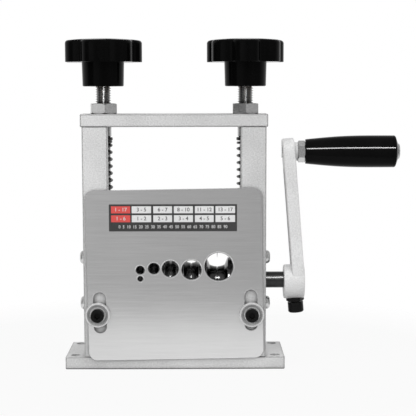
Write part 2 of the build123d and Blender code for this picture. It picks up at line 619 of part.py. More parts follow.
def lock_nut(side):
    turn = LOCK_NUT_TURNS[0] if side < 0 else LOCK_NUT_TURNS[1]
    nut = hex_nut(LOCK_NUT_ACROSS, LOCK_NUT_HEIGHT, SCREW_DIAMETER / 2 + RUNNING_CLEARANCE, turn)
    return Pos(side_x(side, SCREW_X), WORK_Y, BAR_TOP_Z) * nut


def star_outline(first_turn):
    """Seven round lobes with softened valleys between them."""
    reach = STAR_DIAMETER / 2 - LOBE_RADIUS
    outline = Circle(reach)
    for lobe in range(LOBE_COUNT):
        turn = radians(first_turn + lobe * 360 / LOBE_COUNT)
        outline += Pos(reach * cos(turn), reach * sin(turn)) * Circle(LOBE_RADIUS)
    return fillet(outline.vertices(), VALLEY_ROUND)


def star_knob(side):
    first_turn = KNOB_TURNS[0] if side < 0 else KNOB_TURNS[1]
    star = extrude(star_outline(first_turn), STAR_HEIGHT)
    dome_radius = ((STAR_DIAMETER / 2)**2 + STAR_DOME**2) / (2 * STAR_DOME)
    star &= Pos(0, 0, STAR_HEIGHT - dome_radius) * Sphere(dome_radius)
    star = fillet(star.faces().sort_by(Axis.Z)[-1].outer_wire().edges(), STAR_TOP_ROUND)
    star = fillet(star.faces().sort_by(Axis.Z)[0].outer_wire().edges(), STAR_LOW_ROUND)
    hub = cone_z(KNOB_HUB_LOW_DIAMETER / 2, KNOB_HUB_TOP_DIAMETER / 2, 0, KNOB_HUB_HEIGHT + 1)
    hub = fillet(hub.edges().group_by(Axis.Z)[0], KNOB_HUB_ROUND)
    knob = Pos(0, 0, KNOB_HUB_HEIGHT) * star + hub
    knob -= rod_z(INSERT_DIAMETER / 2 + FIT_CLEARANCE, -1, INSERT_LENGTH + FIT_CLEARANCE)
    return Pos(side_x(side, SCREW_X), WORK_Y, KNOB_Z) * knob


def knob_insert(side):
    bore = SCREW_DIAMETER / 2 + FIT_CLEARANCE
    insert = rod_z(INSERT_DIAMETER / 2, INSERT_RECESS, INSERT_LENGTH) - rod_z(bore, -1, INSERT_LENGTH + 1)
    return Pos(side_x(side, SCREW_X), WORK_Y, KNOB_Z) * insert


# ---- springs ----
def spring_seat(side):
    seat = rod_z(SEAT_DIAMETER / 2, SEAT_LOW_Z, SCREW_LOW_Z, side_x(side, SCREW_X), WORK_Y)
    return chamfer(seat.edges().filter_by(GeomType.CIRCLE), SEAT_BREAK)


def biarc(start, start_way, end, end_way):
    """Two arcs that leave start along start_way and reach end along end_way."""
    chord = end - start
    ways = start_way + end_way
    bend = 2 * (1 - start_way.dot(end_way))
    reach = (-chord.dot(ways) + sqrt(chord.dot(ways)**2 + bend * chord.dot(chord))) / bend
    first = start + start_way * reach
    last = end - end_way * reach
    middle = (first + last) * 0.5
    middle_way = (last - first).normalized()
    return [Edge.make_tangent_arc(start, start_way, middle), Edge.make_tangent_arc(middle, middle_way, end)]


def coil_point(radius, turn, z):
    return Vector(radius * cos(turn), radius * sin(turn), z)


def coil_way(radius, turn, rise_per_radian):
    return Vector(-radius * sin(turn), radius * cos(turn), rise_per_radian).normalized()


def spring_path():
    """Straight end, bend, coil of quarter turns, bend, straight end, standing on z = 0."""
    radius = (SPRING_DIAMETER - SPRING_WIRE) / 2
    height = SEAT_LOW_Z - UPPER_BLOCK_TOP
    coil_low = SPRING_WIRE + SPRING_LEAD_RISE
    coil_height = height - 2 * coil_low
    quarters = round(4 * coil_height / SPRING_PITCH)
    rise = coil_height / quarters
    rise_per_radian = rise / (pi / 2)
    lead = radians(SPRING_LEAD_ANGLE)
    up = Vector(0, 0, 1)
    foot = coil_point(radius, -lead, SPRING_WIRE)
    edges = [Edge.make_line(coil_point(radius, -lead, 0), foot)]
    start = coil_point(radius, 0, coil_low)
    start_way = coil_way(radius, 0, rise_per_radian)
    edges += biarc(foot, up, start, start_way)
    for quarter in range(quarters):
        turn = (quarter + 1) * pi / 2
        end = coil_point(radius, turn, coil_low + (quarter + 1) * rise)
        end_way = coil_way(radius, turn, rise_per_radian)
        edges += biarc(start, start_way, end, end_way)
        start, start_way = end, end_way
    last_turn = quarters * pi / 2 + lead
    neck = coil_point(radius, last_turn, height - SPRING_WIRE)
    edges += biarc(start, start_way, neck, up)
    edges.append(Edge.make_line(neck, coil_point(radius, last_turn, height)))
    return Wire(edges)


def least_gap(path, count=900):
    """Smallest clear distance between two stretches of the wire."""
    step = path.length / count
    skip = int(pi * SPRING_WIRE / step) + 1
    points = [path.position_at(i / count) for i in range(count + 1)]
    least = min((points[i] - points[j]).length
                for i in range(count + 1) for j in range(i + skip, count + 1, 2))
    return least - SPRING_WIRE


def coil_spring():
    path = spring_path()
    section = Plane(origin=path @ 0, z_dir=path % 0) * Circle(SPRING_WIRE / 2)
    spring = sweep(section, path=path)
    expected = pi * (SPRING_WIRE / 2)**2 * path.length
    radii = [edge.radius for edge in path.edges() if edge.geom_type == GeomType.CIRCLE]
    print(f"spring: wire length {path.length:.1f}, volume {spring.volume:.1f} of {expected:.1f}, "
          f"tightest bend {min(radii):.2f}, least gap to itself {least_gap(path):.2f}")
    return spring


# ---- guide plate, its clamps and its label ----
def guide_plane():
    lean = radians(PLATE_TILT)
    return Plane(origin=(PLATE_CENTRE_X, PLATE_BACK_Y, PLATE_CENTRE_Z),
                 x_dir=(cos(lean), 0, sin(lean)), z_dir=(0, -1, 0))


def guide_plate():
    plane = guide_plane()
    outline = RectangleRounded(PLATE_WIDTH, PLATE_HEIGHT, PLATE_CORNER)
    for side in (-1, 1):
        outline -= Pos(side_x(side, SLOT_SPAN / 2), -SLOT_DROP) * SlotOverall(SLOT_LENGTH, SLOT_WIDTH, rotation=90)
    plate = plane * extrude(outline, PLATE_THICKNESS)
    for lane in LANES:
        for diameter, offset, z in lane.holes:
            x = lane.x + offset
            plate -= rod_y(diameter / 2, PLATE_FRONT_Y - 1, PLATE_BACK_Y + 1, x, z)
            sink = cone_z(diameter / 2, diameter / 2 + HOLE_CHAMFER, -HOLE_CHAMFER, 0)
            plate -= placed(sink, (x, PLATE_FRONT_Y, z), (0, -1, 0))
    return plate


def label_plate():
    return block(LABEL_CENTRE_X - LABEL_WIDTH / 2, LABEL_CENTRE_X + LABEL_WIDTH / 2,
                 PLATE_FRONT_Y - LABEL_THICKNESS, PLATE_FRONT_Y,
                 LABEL_CENTRE_Z - LABEL_HEIGHT / 2, LABEL_CENTRE_Z + LABEL_HEIGHT / 2)


def clamp_collar(side):
    """A turned collar on the plate's front, with a dished face that the screw head sits in."""
    flange = rod_z(COLLAR_DIAMETER / 2, 0, COLLAR_THICKNESS)
    flange = chamfer(flange.edges().filter_by(GeomType.CIRCLE), COLLAR_BREAK)
    dish = cone_z(COLLAR_DISH_FLOOR / 2, COLLAR_DIAMETER / 2 - COLLAR_BREAK - COLLAR_RIM,
                  COLLAR_THICKNESS - COLLAR_DISH_DEPTH, COLLAR_THICKNESS)
    bore = rod_z(PLATE_SCREW_DIAMETER / 2 + RUNNING_CLEARANCE, -1, COLLAR_THICKNESS)
    origin = (side_x(side, PLATE_CLAMP_SPAN / 2), PLATE_FRONT_Y - PLATE_GAP, PLATE_CLAMP_Z)
    return placed(flange - dish - bore, origin, (0, -1, 0))


def clamp_screw(side):
    seat = PLATE_THICKNESS + 2 * PLATE_GAP + COLLAR_THICKNESS - COLLAR_DISH_DEPTH
    screw = socket_screw(PLATE_SCREW_DIAMETER, seat + PLATE_SCREW_THREAD, PLATE_SCREW_HEAD_DIAMETER,
                         PLATE_SCREW_HEAD_HEIGHT, PLATE_SCREW_SOCKET)
    origin = (side_x(side, PLATE_CLAMP_SPAN / 2), FRONT_Y - seat, PLATE_CLAMP_Z)
    return placed(screw, origin, (0, -1, 0))


# ---- the assembly: one file for each piece, or for each group of equal fasteners ----
def pieces():
    nodes = {
        "base_plate": base_plate(),
        "top_bar": top_bar(),
        "base_screws": base_screws(),
        "bar_screws": bar_screws(),
        "drive_shaft": drive_shaft(),
        "feed_roller": feed_roller(),
        "roller_screws": roller_screws(),
        "cutter_shaft": cutter_shaft(),
        "crank_arm": crank_arm(),
        "crank_clamp_screw": crank_clamp_screw(),
        "crank_clamp_nut": crank_clamp_nut(),
        "handle_bolt": handle_bolt(),
        "handle_nut": handle_nut(),
        "handle_grip": handle_grip(),
        "guide_plate": guide_plate(),
        "label_plate": label_plate(),
    }
    for number, lane in enumerate(LANES, start=1):
        nodes[f"cutter_disc_{number}"] = cutter_disc(lane)
    for index in range(len(LANES) + 1):
        nodes[f"cutter_spacer_{index + 1}"] = cutter_spacer(index)
    spring = coil_spring()
    for name, side in (("left", -1), ("right", 1)):
        nodes[f"{name}_upright"] = upright(side)
        nodes[f"{name}_bearing_block"] = bearing_block(side)
        nodes[f"{name}_drive_bush"] = bush(side, 0, DRIVE_SHAFT_DIAMETER, DRIVE_BUSH_WALL, DRIVE_Z)
        nodes[f"{name}_side_screws"] = side_screws(side)
        nodes[f"{name}_slide_block"] = slide_block(side)
        nodes[f"{name}_cutter_bush"] = bush(side, UPPER_BLOCK_GAP, CUTTER_SHAFT_DIAMETER,
                                            CUTTER_BUSH_WALL, CUTTER_Z)
        nodes[f"{name}_lock_nut"] = lock_nut(side)
        nodes[f"{name}_adjusting_screw"] = adjusting_screw(side)
        nodes[f"{name}_star_knob"] = star_knob(side)
        nodes[f"{name}_knob_insert"] = knob_insert(side)
        nodes[f"{name}_spring_seat"] = spring_seat(side)
        nodes[f"{name}_spring"] = Pos(side_x(side, SCREW_X), WORK_Y, UPPER_BLOCK_TOP) * spring
        nodes[f"{name}_clamp_collar"] = clamp_collar(side)
        nodes[f"{name}_clamp_screw"] = clamp_screw(side)
    return nodes


os.makedirs("parts", exist_ok=True)
for node, shape in pieces().items():
    if isinstance(shape, list):
        shape = Compound(children=[solid for piece in shape for solid in piece.solids()])
    export_step(shape, f"parts/{node}.step")
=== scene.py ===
import json
from math import cos, pi, radians, sin

import bpy
from mathutils import Matrix, Vector


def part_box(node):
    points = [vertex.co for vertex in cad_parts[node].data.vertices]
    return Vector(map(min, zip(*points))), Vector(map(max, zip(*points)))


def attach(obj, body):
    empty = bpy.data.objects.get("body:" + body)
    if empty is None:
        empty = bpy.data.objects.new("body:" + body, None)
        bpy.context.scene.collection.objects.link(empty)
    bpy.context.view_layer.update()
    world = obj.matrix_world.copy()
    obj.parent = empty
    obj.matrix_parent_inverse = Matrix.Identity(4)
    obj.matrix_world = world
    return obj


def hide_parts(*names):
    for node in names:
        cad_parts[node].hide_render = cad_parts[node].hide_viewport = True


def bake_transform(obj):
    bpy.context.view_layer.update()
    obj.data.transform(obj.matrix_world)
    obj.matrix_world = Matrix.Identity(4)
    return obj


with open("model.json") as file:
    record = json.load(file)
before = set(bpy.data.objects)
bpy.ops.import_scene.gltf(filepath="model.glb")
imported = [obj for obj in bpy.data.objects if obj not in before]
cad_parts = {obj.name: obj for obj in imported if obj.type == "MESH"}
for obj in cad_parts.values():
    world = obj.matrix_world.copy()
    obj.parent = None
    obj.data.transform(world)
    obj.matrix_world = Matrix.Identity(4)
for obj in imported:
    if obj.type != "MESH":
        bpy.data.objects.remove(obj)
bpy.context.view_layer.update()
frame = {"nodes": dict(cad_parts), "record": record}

# Hand crank wire stripper, dressed for one product picture. Metres, in the frame's own axes:
# +Z up, the guide plate faces -Y and the crank is on the +X side.

MM = 0.001
SIDES = ("left", "right")

# ---- camera, found from the frame's edges in the photograph ----
PICTURE = 416                     # the photograph's side, pixels
PRINCIPAL_POINT = (207.1, 255.0)  # pixels
FOCAL_PIXELS = 1281.5
SENSOR = 36.0                     # millimetres
CAMERA_PLACE = (0.0165, -0.8283, 0.1762)
CAMERA_PITCH = 7.29               # degrees below the horizon
CAMERA_YAW = 0.285                # degrees towards +X
CAMERA_ROLL = -0.10               # degrees
CAMERA_REACH = 20

# ---- screws and springs ----
THREAD_PITCH = 1.5 * MM
THREAD_DEPTH = 0.92 * MM
THREAD_CREST = 0.125              # flat at the crest, share of the pitch
THREAD_ROOT = 0.125               # flat at the root, share of the pitch
THREAD_SEGMENTS = 64              # points round the thread
THREAD_ROWS = 10                  # rows of points in one pitch
SPRING_WIRE = 1.6 * MM
SPRING_PITCH = 4.45 * MM
CLOSED_TURNS = 0.75               # closed turns at each end of a spring
WIRE_SIDES = 14
COIL_SEGMENTS = 36                # points in one turn
SHARP_EDGE = 32                   # degrees, edges that turn more than this stay crisp
SHARP_THREAD = 50

# ---- label: shares of its width and height, as in the photograph ----
LABEL_COLUMNS = (
    (0.017, 0.167), (0.178, 0.33), (0.346, 0.493),
    (0.507, 0.656), (0.671, 0.818), (0.832, 0.985),
)
LABEL_ROWS = ((0.668, 0.932), (0.339, 0.6))
LABEL_STRIP = 0.163               # height of the line of small figures
LABEL_STRIP_WIDTH = 0.9           # width of the small figures, share of plain type's
LABEL_FIGURES = (
    ("1 - 17", "3 - 5", "6 - 7", "8 - 10", "11 - 12", "13 - 17"),
    ("1 - 6", "1 - 2", "2 - 3", "3 - 4", "4 - 5", "5 - 6"),
)
LABEL_STRIP_FIGURES = "  ".join(str(number) for number in range(0, 91, 5))
LABEL_CORNER = 0.4 * MM
CORNER_POINTS = 5                 # points in a rounded corner
PRINT_THICKNESS = 0.03 * MM
PRINT_BOLD = 0.05 * MM
FIGURE_SHARE = 0.7                # a figure's height to its type size
FIGURE_HEIGHT = 2.3 * MM
STRIP_FIGURE_HEIGHT = 1.9 * MM

# ---- what all finishes share ----
GRAIN_DETAIL = 5.0
GRAIN_ROUGHNESS = 0.62
GRAIN_SHARE = 0.65                # of the fine grain in the tint, beside the broad noise
GRAIN_RANGE = (0.3, 0.7)          # noise levels that the roughness runs over
TINT_DETAIL = 3.0
TINT_RANGE = (0.36, 0.62)         # noise levels that the tint runs over
RELIEF_DETAIL = 4.0
# painted edge light and shade: rounded edges are tinted lighter or darker in place of their highlights and
# shading
PAINTED_EDGE_BEND = (0.998, 0.95)          # cosine of an edge's rounding, where its painted edge light and shade begins and is full
PAINTED_EDGE_MOST = 0.85
PAINTED_EDGE_EVEN = 0.45                   # part of the painted edge light and shade that the noise doesn't break up
# painted shade: corners and recesses are darkened by how closed in a point is
CORNER_SHADE_DISTANCE = 4 * MM
CORNER_SHADE_FULL = 0.15                  # openness at which the painted corner shade is darkest
CORNER_SHADE_TONE = 0.05
SHADING_SAMPLES = 6
HOLE_SPAN = 40 * MM               # the wire holes lie within this distance of the plate's middle

# ---- studio: brightness where 1 shows as white ----
ROOM = (                          # what the polished faces see: (degrees from -Y to +X, level)
    (-180, 1.0), (-100, 0.9), (-80, 0.12), (-55, 0.12), (-46, 0.8), (-24, 0.72),
    (-6, 0.46), (8, 0.34), (40, 0.5), (80, 0.4), (100, 0.8), (180, 1.0),
)
ROOM_TOP = 0.5
ROOM_TOP_RANGE = (0.25, 0.9)      # height of a direction where the top begins and is full
FLOOR_RADIUS = 0.27
FLOOR_FADE = 0.09
FLOOR_TONES = (0.34, 0.38)
FLOOR_GRAIN = 300.0
FLOOR_SHOWN = 0.93                # share of the floor that stays white to the camera
FLOOR_SHADOW = 12 * MM
FLOOR_SHADOW_TONE = 0.03
FLOOR_SHADOW_RANGE = (0.0, 0.5)   # openness under the tool that the shadow runs over
FLOOR_SAMPLES = 8

# ---- lamps: name, place, aim, width, height, watts, and the only pieces that it lights ----
SCREW_NAMES = tuple(f"{side}_threaded_screw" for side in SIDES)
LAMPS = (
    ("left_box", (-0.75, -0.85, 0.5), (0, 0, 0.1), 0.8, 0.9, 6.6, ()),
    ("right_box", (0.85, -0.8, 0.45), (0.03, 0, 0.1), 0.8, 0.9, 4.4, ()),
    ("top_box", (0.0, -0.4, 1.1), (0.03, 0, 0.1), 1.2, 0.7, 4.5, ()),
    ("shaft_strip", (0.09, -0.3, 0.29), (0.09, 0, 0.1), 0.26, 0.014, 2.5, ("drive_shaft",)),
    ("lane_strip", (0.02, -0.5, 0.3), (0.02, 0, 0.06), 0.25, 0.12, 3.0, ("feed_roller",)),
    ("screw_box", (0.02, -0.5, 0.2), (0, 0, 0.18), 0.26, 0.3, 2.6, SCREW_NAMES),
    ("grip_strip", (0.11, -0.3, 0.29), (0.11, 0, 0.14), 0.26, 0.03, 6.0, ("handle_grip",)),
)


# ---------------------------------------------------------------- node helpers
class Nodes:
    """Short hand for building a node tree."""

    def __init__(self, tree):
        self.tree = tree
        tree.nodes.clear()

    def fill(self, socket, value):
        """A socket takes a link or a plain value."""
        if isinstance(value, bpy.types.NodeSocket):
            self.tree.links.new(value, socket)
        else:
            socket.default_value = value

    def add(self, kind, inputs=None, **settings):
        """A node with its settings and its inputs."""
        node = self.tree.nodes.new(kind)
        for key, value in settings.items():
            setattr(node, key, value)
        for key, value in (inputs or {}).items():
            self.fill(node.inputs[key], value)
        return node

    def math(self, operation, a, b=0.0):
        return self.add("ShaderNodeMath", {0: a, 1: b}, operation=operation).outputs[0]

    def span(self, value, source, target=(0.0, 1.0)):
        """A value carried from one range to another, and held at its ends."""
        return self.add("ShaderNodeMapRange", {"Value": value,
                                               "From Min": source[0], "From Max": source[1],
                                               "To Min": target[0], "To Max": target[1]}).outputs[0]

    def ramp(self, factor, low, high, at=(0.0, 1.0)):
        """A blend between two colours, over a range of the factor."""
        node = self.add("ShaderNodeValToRGB", {0: factor})
        for element, place, value in zip(node.color_ramp.elements, at, (low, high)):
            element.position = place
            element.color = (*value, 1)
        return node.outputs[0]

    def mix(self, factor, a, b):
        """Two colours, mixed by a factor."""
        node = self.add("ShaderNodeMix", {0: factor}, data_type="RGBA")
        for socket, value in ((node.inputs[6], a), (node.inputs[7], b)):
            self.fill(socket, (*value, 1) if isinstance(value, tuple) else value)
        return node.outputs[2]

    def noise(self, place, scale, **more):
        """The level of a noise; more gives its Detail and Roughness."""
        return self.add("ShaderNodeTexNoise", {"Vector": place, "Scale": scale, **more}).outputs["Fac"]


def grey(value):
    return (value, value, value)


def new_material(name):
    """An empty material and the helper that fills it."""
    material = bpy.data.materials.new(name)
    material.use_nodes = True
    return material, Nodes(material.node_tree)


# ---------------------------------------------------------------- finishes
def rub_edges(n, colour, edge, rounded, broad, place, edge_span):
    """Painted edge light and shade where the edges round off, only within edge_span of the middle when that
    is given.
    """
    flat = n.add("ShaderNodeNewGeometry").outputs["Normal"]
    agree = n.add("ShaderNodeVectorMath", {0: rounded, 1: flat}, operation="DOT_PRODUCT").outputs["Value"]
    bend = n.span(agree, PAINTED_EDGE_BEND, (0.0, PAINTED_EDGE_MOST))
    painted_edge_share = n.math("MULTIPLY", bend, n.math("ADD", PAINTED_EDGE_EVEN, broad))
    if edge_span:
        across = n.add("ShaderNodeSeparateXYZ", {0: place}).outputs[0]
        near = n.math("LESS_THAN", n.math("ABSOLUTE", across), edge_span)
        painted_edge_share = n.math("MULTIPLY", painted_edge_share, near)
    return n.mix(painted_edge_share, colour, edge)


def dirty_corners(n, colour, corner_shade, corner_shade_reach):
    """Painted shade, darker towards narrow corners."""
    ambient = n.add("ShaderNodeAmbientOcclusion", {"Distance": CORNER_SHADE_DISTANCE}, samples=SHADING_SAMPLES)
    depth = n.span(ambient.outputs["AO"], (CORNER_SHADE_FULL, corner_shade_reach), (corner_shade, 0.0))
    return n.mix(depth, colour, grey(CORNER_SHADE_TONE))


def finish(name, dark, light, metallic, roughness, grain, stretch=(1, 1, 1), bump=0.0,
           edge=None, edge_width=0.35 * MM, edge_span=0.0, corner_shade=0.0, corner_shade_reach=0.6,
           specular=0.5, tint_scale=25.0):
    """A surface with two sizes of noise, a broad tint and a fine grain that also sets its roughness
    and relief, painted light and shade along its edges and painted shade in its corners."""
    material, n = new_material(name)
    place = n.add("ShaderNodeTexCoord").outputs["Object"]
    stretched = n.add("ShaderNodeMapping", {"Vector": place, "Scale": stretch}).outputs[0]
    fine = n.noise(stretched, grain, Detail=GRAIN_DETAIL, Roughness=GRAIN_ROUGHNESS)
    broad = n.noise(place, tint_scale, Detail=TINT_DETAIL)
    blend = n.math("ADD", n.math("MULTIPLY", fine, GRAIN_SHARE), n.math("MULTIPLY", broad, 1 - GRAIN_SHARE))
    colour = n.ramp(blend, dark, light, TINT_RANGE)
    rough = n.span(fine, GRAIN_RANGE, roughness)
    if edge_width:
        normal = n.add("ShaderNodeBevel", {"Radius": edge_width}, samples=SHADING_SAMPLES).outputs[0]
    else:
        normal = n.add("ShaderNodeNewGeometry").outputs["Normal"]
    # painted edge light and shade along the rounded edges
    if edge:
        colour = rub_edges(n, colour, edge, normal, broad, place, edge_span)
    # painted shade in the corners and recesses
    if corner_shade:
        colour = dirty_corners(n, colour, corner_shade, corner_shade_reach)
    if bump:
        relief = n.noise(stretched, grain, Detail=RELIEF_DETAIL)
        normal = n.add("ShaderNodeBump", {"Height": relief, "Strength": 1.0, "Distance": bump,
                                          "Normal": normal}).outputs[0]
    shader = n.add("ShaderNodeBsdfPrincipled", {"Base Color": colour, "Metallic": metallic,
                                                "Roughness": rough, "Normal": normal,
                                                "Specular IOR Level": specular})
    n.add("ShaderNodeOutputMaterial", {"Surface": shader.outputs[0]})
    return material


# edge tints the rounded edges with painted light and shade; corner_shade darkens corners and recesses with
# painted shade
ALUMINIUM = finish("fine_blasted_aluminium", dark=grey(0.48), light=grey(0.76), metallic=0.2,
                   roughness=(0.45, 0.65), grain=1200.0, bump=0.012 * MM,
                   edge=grey(0.09), edge_width=0.8 * MM, corner_shade=0.95, corner_shade_reach=0.78)
CASTING = finish("cast_crank", dark=grey(0.6), light=grey(0.84), metallic=0.15,
                 roughness=(0.38, 0.55), grain=1300.0, bump=0.02 * MM,
                 edge=grey(0.35), edge_width=0.5 * MM, corner_shade=0.7)
# painted highlight: the edges round the wire holes are tinted near white
PLATE = finish("brushed_plate", dark=grey(0.68), light=grey(0.74), metallic=0.88,
               roughness=(0.19, 0.23), grain=1500.0, stretch=(0.02, 1, 1),
               edge=grey(1.0), edge_width=0.6 * MM, edge_span=HOLE_SPAN)
BLOCK = finish("ground_steel", dark=grey(0.3), light=grey(0.5), metallic=1.0,
               roughness=(0.28, 0.45), grain=1200.0, stretch=(1, 0.05, 1), bump=0.004 * MM,
               edge=grey(0.7))
SPACER = finish("turned_steel", dark=grey(0.28), light=grey(0.42), metallic=1.0,
                roughness=(0.25, 0.4), grain=1800.0, stretch=(1, 0.02, 0.02), bump=0.004 * MM,
                edge=grey(0.6))
CUTTER = finish("polished_cutter", dark=grey(0.55), light=grey(0.72), metallic=1.0,
                roughness=(0.12, 0.22), grain=1500.0, stretch=(1, 0.1, 0.1), bump=0.002 * MM,
                edge=grey(0.9))
SPRING = finish("drawn_spring_wire", dark=grey(0.05), light=grey(0.16), metallic=1.0,
                roughness=(0.2, 0.35), grain=2200.0, bump=0.004 * MM)
BRONZE = finish("turned_bronze", dark=(0.34, 0.2, 0.08), light=(0.55, 0.36, 0.16), metallic=1.0,
                roughness=(0.25, 0.4), grain=1500.0, bump=0.004 * MM, edge=(0.7, 0.5, 0.25))
ZINC = finish("bright_zinc", dark=grey(0.5), light=grey(0.74), metallic=0.95,
              roughness=(0.14, 0.26), grain=1400.0, bump=0.004 * MM,
              edge=grey(0.1), edge_width=0.4 * MM, corner_shade=0.9)
THREAD = finish("rolled_thread", dark=grey(0.3), light=grey(0.52), metallic=1.0,
                roughness=(0.1, 0.18), grain=1400.0, bump=0.002 * MM,
                edge_width=0.0, corner_shade=1.0, corner_shade_reach=0.75)
COLLAR = finish("polished_collar", dark=grey(0.66), light=grey(0.82), metallic=0.4,
                roughness=(0.25, 0.36), grain=1600.0, bump=0.003 * MM,
                edge=grey(0.3), edge_width=0.2 * MM)
ROLLER = finish("polished_roller", dark=grey(0.045), light=grey(0.085), metallic=1.0,
                roughness=(0.1, 0.18), grain=1500.0, stretch=(1, 0.1, 0.1), bump=0.002 * MM,
                edge=grey(0.85), corner_shade=0.8)
BLACK_STEEL = finish("black_oxide", dark=grey(0.03), light=grey(0.045), metallic=0.9,
                     roughness=(0.26, 0.34), grain=1700.0, stretch=(1, 0.3, 0.3), bump=0.002 * MM,
                     edge=grey(0.16))
BLACK_SCREW = finish("black_screw", dark=grey(0.005), light=grey(0.014), metallic=0.3,
                     roughness=(0.25, 0.4), grain=1700.0, bump=0.004 * MM,
                     edge=grey(0.03), edge_width=0.2 * MM, specular=0.08)
PLASTIC = finish("glossy_black_plastic", dark=grey(0.001), light=grey(0.0022), metallic=0.0,
                 roughness=(0.1, 0.16), grain=900.0, bump=0.001 * MM, specular=0.05, tint_scale=60.0)
GRIP_PLASTIC = finish("polished_black_plastic", dark=grey(0.0004), light=grey(0.0008), metallic=0.0,
                      roughness=(0.07, 0.1), grain=900.0, edge_width=0.0, specular=0.05,
                      tint_scale=60.0)
FILM = finish("label_ground", dark=grey(0.035), light=grey(0.055), metallic=0.0,
              roughness=(0.4, 0.5), grain=1500.0, bump=0.002 * MM, specular=0.3)
PRINT_RED = finish("print_red", dark=(0.62, 0.07, 0.065), light=(0.72, 0.09, 0.08), metallic=0.0,
                   roughness=(0.4, 0.5), grain=1500.0)
PRINT_WHITE = finish("print_white", dark=grey(0.68), light=grey(0.76), metallic=0.0,
                     roughness=(0.4, 0.5), grain=1500.0)
PRINT_GREY = finish("print_grey", dark=grey(0.06), light=grey(0.1), metallic=0.0,
                    roughness=(0.4, 0.5), grain=1500.0)
PRINT_PALE = finish("print_pale", dark=grey(0.55), light=grey(0.65), metallic=0.0,
                    roughness=(0.4, 0.5), grain=1500.0)

BY_SLOT = {
    "frame_aluminium": ALUMINIUM,
    "crank_casting": CASTING,
    "plate_steel": PLATE,
    "block_steel": BLOCK,
    "spacer_steel": SPACER,
    "cutter_steel": CUTTER,
    "spring_steel": SPRING,
    "bush_bronze": BRONZE,
    "zinc_screws": ZINC,
    "zinc_nuts": ZINC,
    "polished_collar": COLLAR,
    "black_oxide": BLACK_STEEL,
    "black_screws": BLACK_SCREW,
    "knob_plastic": PLASTIC,
    "label_film": FILM,
    "roller_steel": ROLLER,
}
BY_NODE = {
    "handle_grip": GRIP_PLASTIC,
    "left_spring_seat": BLACK_STEEL,
    "right_spring_seat": BLACK_STEEL,
}


# ---------------------------------------------------------------- mesh helpers
def new_object(name, vertices, faces, material, smooth=True):
    """A mesh object in the scene."""
    mesh = bpy.data.meshes.new(name)
    mesh.from_pydata([tuple(v) for v in vertices], [], faces)
    mesh.validate()
    for polygon in mesh.polygons:
        polygon.use_smooth = smooth
    mesh.materials.append(material)
    obj = bpy.data.objects.new(name, mesh)
    bpy.context.scene.collection.objects.link(obj)
    return obj


def smooth_by_angle(obj, degrees=SHARP_EDGE):
    """Round faces shade smoothly, edges sharper than this stay crisp."""
    mesh = obj.data
    for polygon in mesh.polygons:
        polygon.use_smooth = True
    mesh.set_sharp_from_angle(angle=radians(degrees))


def ring_faces(rings, sides):
    """Faces between rings of points, with the first and the last ring closed."""
    faces = []
    for ring in range(rings - 1):
        for k in range(sides):
            a = ring * sides + k
            b = ring * sides + (k + 1) % sides
            faces.append((a, b, b + sides, a + sides))
    faces.append(tuple(reversed(range(sides))))
    faces.append(tuple(range((rings - 1) * sides, rings * sides)))
    return faces


def tube(name, path, radius, sides, material):
    """A round wire along a list of points, closed at both ends."""
    vertices = []
    last = len(path) - 1
    side = Vector((1, 0, 0))
    for i, point in enumerate(path):
        way = (path[min(i + 1, last)] - path[max(i - 1, 0)]).normalized()
        side = (side - way * side.dot(way)).normalized()
        other = way.cross(side)
        for k in range(sides):
            turn = 2 * pi * k / sides
            vertices.append(point + radius * (cos(turn) * side + sin(turn) * other))
    return new_object(name, vertices, ring_faces(len(path), sides), material)


def dress_nodes():
    """Every piece of the frame gets the finish of its material slot, or its own."""
    for part in frame["record"]["subparts"]:
        obj = frame["nodes"][part["node"]]
        obj.data.materials.clear()
        obj.data.materials.append(BY_NODE.get(part["node"], BY_SLOT[part["material_slot"]]))
        smooth_by_angle(obj)


# ---------------------------------------------------------------- adjusting screws
def thread_cut(height, share):
    """How far the thread lies below its crest, at a height and a share of a turn."""
    phase = (height / THREAD_PITCH - share) % 1.0
    from_crest = abs(phase - 0.5) - THREAD_CREST / 2
    flank = (1 - THREAD_CREST - THREAD_ROOT) / 2
    return THREAD_DEPTH * min(1.0, max(0.0, from_crest / flank))


def threaded_screw(side):
    """The adjusting screw with its real thread, plain where it ends below the top bar."""
    node = f"{side}_adjusting_screw"
    low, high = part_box(node)
    x = (low[0] + high[0]) / 2
    y = (low[1] + high[1]) / 2
    radius = (high[0] - low[0]) / 2
    length = high[2] - low[2]
    thread_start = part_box("top_bar")[0][2]
    rows = int(length / (THREAD_PITCH / THREAD_ROWS))
    vertices = []
    for row in range(rows + 1):
        z = low[2] + length * row / rows
        chamfer = max(0.0, THREAD_DEPTH - (z - low[2]), THREAD_DEPTH - (high[2] - z))
        for k in range(THREAD_SEGMENTS):
            share = k / THREAD_SEGMENTS
            cut = thread_cut(z - low[2], share) if z > thread_start else 0.0
            r = radius - max(cut, chamfer)
            vertices.append((x + r * cos(2 * pi * share), y + r * sin(2 * pi * share), z))
    screw = new_object(f"{side}_threaded_screw", vertices, ring_faces(rows + 1, THREAD_SEGMENTS), THREAD)
    smooth_by_angle(screw, SHARP_THREAD)
    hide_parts(node)
    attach(screw, f"{side}_knob")


# ---------------------------------------------------------------- springs
def coil_path(x, y, bottom, top, radius):
    """Points along a coil with closed turns at both ends, whose wire fills bottom to top."""
    start = bottom + SPRING_WIRE / 2
    rise = top - bottom - SPRING_WIRE
    turns = (rise - 2 * CLOSED_TURNS * SPRING_WIRE) / SPRING_PITCH + 2 * CLOSED_TURNS
    count = int(turns * COIL_SEGMENTS)
    path = []
    z = start
    for i in range(count + 1):
        turn = turns * i / count
        path.append(Vector((x + radius * cos(2 * pi * turn), y + radius * sin(2 * pi * turn), z)))
        near_end = min(turn, turns - turn) < CLOSED_TURNS
        z += (SPRING_WIRE if near_end else SPRING_PITCH) * turns / count
    scale = rise / (path[-1].z - path[0].z)
    for point in path:
        point.z = start + (point.z - start) * scale
    return path


